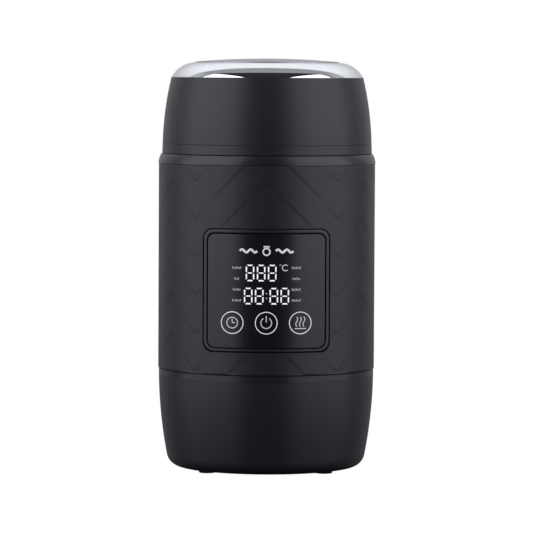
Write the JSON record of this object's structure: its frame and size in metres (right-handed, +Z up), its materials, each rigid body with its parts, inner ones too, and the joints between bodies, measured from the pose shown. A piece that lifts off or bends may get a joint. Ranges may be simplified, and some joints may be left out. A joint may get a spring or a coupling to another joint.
{
  "type": "yogurt maker",
  "caption": "Portable barrel-shaped yogurt maker with a heated well, a lift-out steel pot, a twist-lock lid with a bright ring, and a curved touch panel with a digit display.",
  "frame": {"origin": "centre of the barrel on the plane of the feet's undersides", "axes": "+Z up along the barrel's axis; the control panel faces -Y and the mains inlet +Y"},
  "size_m": [0.1302, 0.1302, 0.2463],
  "materials": {
    "matte_black": "fine satin texture",
    "sleeve_black": "satin, moulded with a low diamond relief",
    "gloss_black": "polished",
    "window_black": "smoked, polished, printed behind",
    "foot_rubber": "matt",
    "screw_steel": "zinc plated",
    "inlet_black": "matt",
    "contact_brass": "bright",
    "board_green": "solder mask",
    "core_steel": "varnished laminations",
    "can_black": "shrink sleeve",
    "relay_blue": "smooth",
    "terminal_green": "smooth",
    "header_white": "smooth",
    "lead_brown": "insulated wire",
    "lead_white": "silicone insulated wire",
    "ribbon_grey": "flat cable",
    "shield_aluminium": "mill finish",
    "insulation_felt": "needled felt",
    "cup_aluminium": "satin",
    "heater_orange": "film heater",
    "cast_aluminium": "as cast",
    "element_steel": "oxidised",
    "fuse_white": "matt",
    "guide_black": "smooth",
    "spring_steel": "bright",
    "pot_steel": "brushed stainless",
    "gasket_silicone": "translucent silicone",
    "foam_white": "rigid foam",
    "trim_chrome": "mirror",
    "top_steel": "satin",
    "module_black": "light block",
    "pad_grey": "conductive foam"
  },
  "bodies": {
    "housing": {"base_housing": "matte_black", "base_plate": "matte_black", "feet": "foot_rubber", "base_screws": "screw_steel", "power_inlet": "inlet_black", "inlet_pins": "contact_brass", "inlet_screws": "screw_steel", "power_board": "board_green", "board_screws": "screw_steel", "transformer": "core_steel", "filter_capacitor": "can_black", "relay": "relay_blue", "terminal_block": "terminal_green", "ribbon_header": "header_white", "mains_leads": "lead_brown", "heater_leads": "lead_white", "display_ribbon": "ribbon_grey", "lower_ring": "gloss_black", "heat_shield": "shield_aluminium", "outer_sleeve": "sleeve_black", "insulation_sleeve": "insulation_felt", "collar_ring": "gloss_black", "collar_screws": "screw_steel", "heating_cup": "cup_aluminium", "heater_band": "heater_orange", "heating_plate": "cast_aluminium", "heater_element": "element_steel", "thermal_fuse": "fuse_white", "sensor_housing": "guide_black", "sensor_spring": "spring_steel", "panel_bezel": "gloss_black", "panel_window": "window_black", "display_board": "board_green", "display_module": "module_black", "touch_pads": "pad_grey", "display_screws": "screw_steel"},
    "sensor": {"sensor_plunger": "cup_aluminium"},
    "pot": {"inner_pot": "pot_steel"},
    "inner_lid": {"inner_lid_plate": "pot_steel", "lid_gasket": "gasket_silicone", "inner_lid_hub": "guide_black"},
    "lid": {"lid_skirt_ring": "matte_black", "lid_cover": "matte_black", "lid_floor": "matte_black", "lid_insulation": "foam_white", "lid_screws": "screw_steel", "lid_trim_ring": "trim_chrome", "lid_top_plate": "top_steel", "pivot_screw": "screw_steel", "pivot_washer": "screw_steel"}
  },
  "joints": [
    {"name": "pot_lift", "type": "slide", "parent": "housing", "child": "pot", "axis": [0, 0, 1], "range_m": [0, 0.14]},
    {"name": "lid_lift", "type": "slide", "parent": "pot", "child": "inner_lid", "axis": [0, 0, 1], "range_m": [0, 0.06]},
    {"name": "lid_turn", "type": "hinge", "parent": "inner_lid", "child": "lid", "pos_m": [0, 0, 0.2], "axis": [0, 0, -1], "range_deg": [0, 40]},
    {"name": "sensor_press", "type": "slide", "parent": "housing", "child": "sensor", "axis": [0, 0, 1], "range_m": [-0.002, 0], "stiffness_N_per_m": 300, "springref_m": 0.002, "deforming": ["sensor_spring"]}
  ]
}
